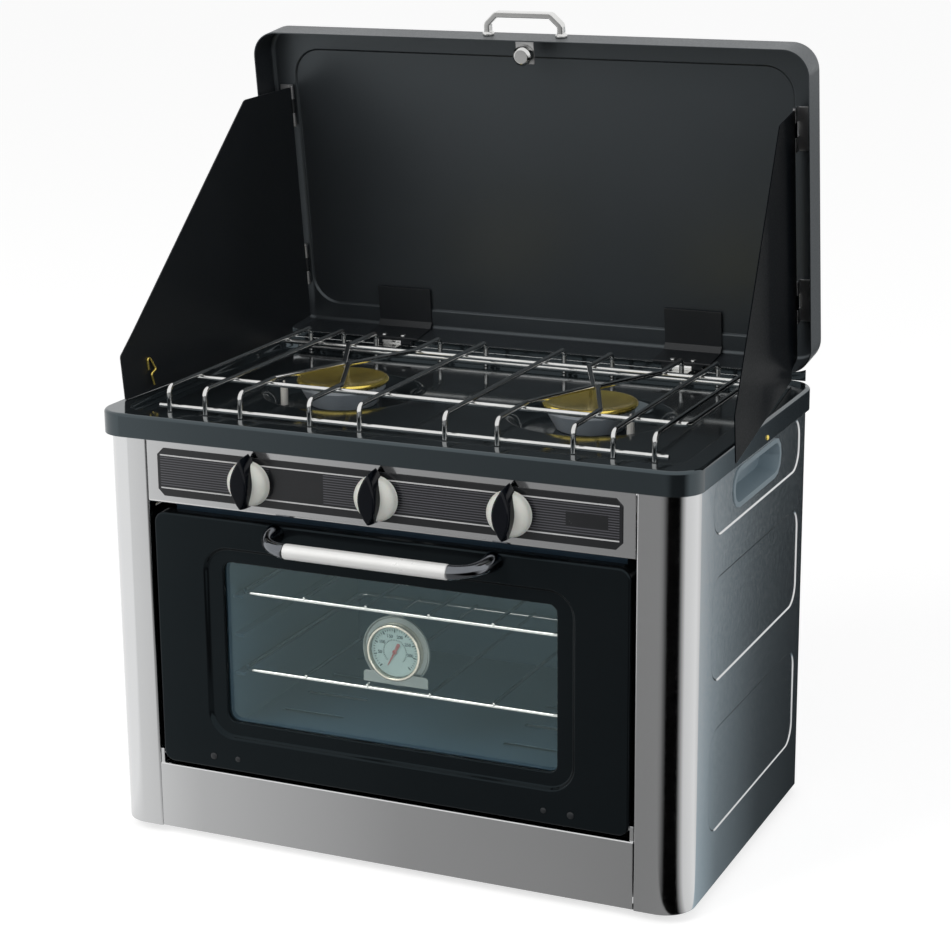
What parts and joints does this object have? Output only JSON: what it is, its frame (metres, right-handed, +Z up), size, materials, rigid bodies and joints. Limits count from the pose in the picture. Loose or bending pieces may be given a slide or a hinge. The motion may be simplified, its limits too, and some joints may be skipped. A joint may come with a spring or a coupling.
{
  "type": "gas cooker",
  "caption": "Portable gas hob with pan support, folding lid and wind shields over a glazed drop-down oven, in a folded steel cabinet.",
  "frame": {"origin": "bottom centre of the bounding box, on the surface the feet stand on", "axes": "+X to the right of someone facing the oven door, +Y to the back, +Z up"},
  "size_m": [0.5744, 0.405, 0.7196],
  "materials": {
    "aluminium": "cast",
    "black_enamel": "gloss enamel",
    "black_plastic": "gloss",
    "black_rubber": "matt",
    "chrome": "bright",
    "dark_chrome": "dark",
    "dial_paint": "matt",
    "glass": "clear",
    "grey_plastic": "satin",
    "grey_silicone": "matt",
    "ivory_plastic": "gloss",
    "label_print": "printed",
    "oven_enamel": "grey enamel",
    "plated_steel": "zinc plated",
    "polished_brass": "polished",
    "red_paint": "matt",
    "satin_black": "satin paint",
    "satin_steel": "satin",
    "white_ceramic": "glazed ceramic"
  },
  "bodies": {
    "cabinet": {"side_panel_right": "satin_steel", "side_panel_left": "satin_steel", "carry_handle_right": "grey_plastic", "carry_handle_left": "grey_plastic", "back_panel": "plated_steel", "base_pan": "plated_steel", "foot_front_left": "black_rubber", "foot_front_right": "black_rubber", "foot_rear_left": "black_rubber", "foot_rear_right": "black_rubber", "plinth_panel": "satin_steel", "control_panel": "satin_steel", "control_label": "label_print", "gas_manifold": "polished_brass", "oven_liner": "oven_enamel", "oven_floor_plate": "oven_enamel", "oven_burner": "aluminium", "oven_rack_lower": "chrome", "oven_rack_upper": "chrome", "thermometer_case": "satin_steel", "thermometer_dial": "dial_paint", "hob_top": "black_enamel", "burner_left": "aluminium", "burner_cap_left": "polished_brass", "electrode_left": "white_ceramic", "burner_right": "aluminium", "burner_cap_right": "polished_brass", "electrode_right": "white_ceramic", "lid_hinge_leaf_right": "chrome", "lid_hinge_leaf_left": "chrome"},
    "door": {"door_frame": "black_enamel", "door_inner_panel": "oven_enamel", "door_glass": "glass", "door_gasket": "grey_silicone", "door_handle_bar": "satin_steel", "door_handle_bracket_right": "dark_chrome", "door_handle_bracket_left": "dark_chrome"},
    "lid": {"lid_shell": "satin_black", "lid_hinge_bracket_right": "satin_black", "lid_hinge_bracket_left": "satin_black", "lid_handle": "chrome", "lid_latch_plate": "plated_steel", "shield_leaf_lower_left": "plated_steel", "shield_leaf_upper_left": "plated_steel", "shield_leaf_lower_right": "plated_steel", "shield_leaf_upper_right": "plated_steel"},
    "lid_latch": {"lid_latch": "chrome"},
    "wind_shield_left": {"wind_shield_left": "satin_black"},
    "wind_shield_right": {"wind_shield_right": "satin_black"},
    "pan_support": {"pan_support": "chrome"},
    "thermometer_needle": {"thermometer_needle": "red_paint"},
    "tap_left": {"valve_spindle_left": "plated_steel"},
    "knob_left": {"knob_skirt_left": "ivory_plastic", "knob_grip_left": "black_plastic"},
    "tap_middle": {"valve_spindle_middle": "plated_steel"},
    "knob_middle": {"knob_skirt_middle": "ivory_plastic", "knob_grip_middle": "black_plastic"},
    "tap_right": {"valve_spindle_right": "plated_steel"},
    "knob_right": {"knob_skirt_right": "ivory_plastic", "knob_grip_right": "black_plastic"}
  },
  "joints": [
    {"name": "oven_door", "type": "hinge", "parent": "cabinet", "child": "door", "pos_m": [-0.01015, -0.15873, 0.0795], "axis": [1, 0, 0], "range_deg": [0, 90]},
    {"name": "lid_hinge", "type": "hinge", "parent": "cabinet", "child": "lid", "pos_m": [-0.01015, 0.16977, 0.3965], "axis": [1, 0, 0], "range_deg": [-22, 0]},
    {"name": "lid_catch", "type": "hinge", "parent": "lid", "child": "lid_latch", "pos_m": [-0.00715, 0.13245, 0.67996], "axis": [0, -0.9921, -0.1253], "range_deg": [0, 90]},
    {"name": "wind_shield_left_hinge", "type": "hinge", "parent": "lid", "child": "wind_shield_left", "pos_m": [-0.26215, 0.1804, 0.53896], "axis": [0, -0.1253, 0.9921], "range_deg": [-18, 5]},
    {"name": "wind_shield_right_hinge", "type": "hinge", "parent": "lid", "child": "wind_shield_right", "pos_m": [0.24185, 0.17673, 0.53849], "axis": [0, -0.1253, 0.9921], "range_deg": [-3, 17]},
    {"name": "pan_support_lift", "type": "slide", "parent": "cabinet", "child": "pan_support", "axis": [0, 0, 1], "range_m": [0, 0.04]},
    {"name": "thermometer_needle_turn", "type": "hinge", "parent": "cabinet", "child": "thermometer_needle", "pos_m": [-0.01515, -0.12573, 0.195], "axis": [0, 1, 0], "range_deg": [0, 287]},
    {"name": "tap_push_left", "type": "slide", "parent": "cabinet", "child": "tap_left", "axis": [0, 1, 0], "range_m": [0, 0.003], "stiffness_N_per_m": 500, "springref_m": -0.002},
    {"name": "knob_turn_left", "type": "hinge", "parent": "tap_left", "child": "knob_left", "pos_m": [-0.13315, -0.16373, 0.3435], "axis": [0, -1, 0], "range_deg": [0, 180]},
    {"name": "tap_push_middle", "type": "slide", "parent": "cabinet", "child": "tap_middle", "axis": [0, 1, 0], "range_m": [0, 0.003], "stiffness_N_per_m": 500, "springref_m": -0.002},
    {"name": "knob_turn_middle", "type": "hinge", "parent": "tap_middle", "child": "knob_middle", "pos_m": [-0.01215, -0.16373, 0.3435], "axis": [0, -1, 0], "range_deg": [0, 180]},
    {"name": "tap_push_right", "type": "slide", "parent": "cabinet", "child": "tap_right", "axis": [0, 1, 0], "range_m": [0, 0.003], "stiffness_N_per_m": 500, "springref_m": -0.002},
    {"name": "knob_turn_right", "type": "hinge", "parent": "tap_right", "child": "knob_right", "pos_m": [0.10885, -0.16373, 0.3435], "axis": [0, -1, 0], "range_deg": [0, 180]}
  ]
}
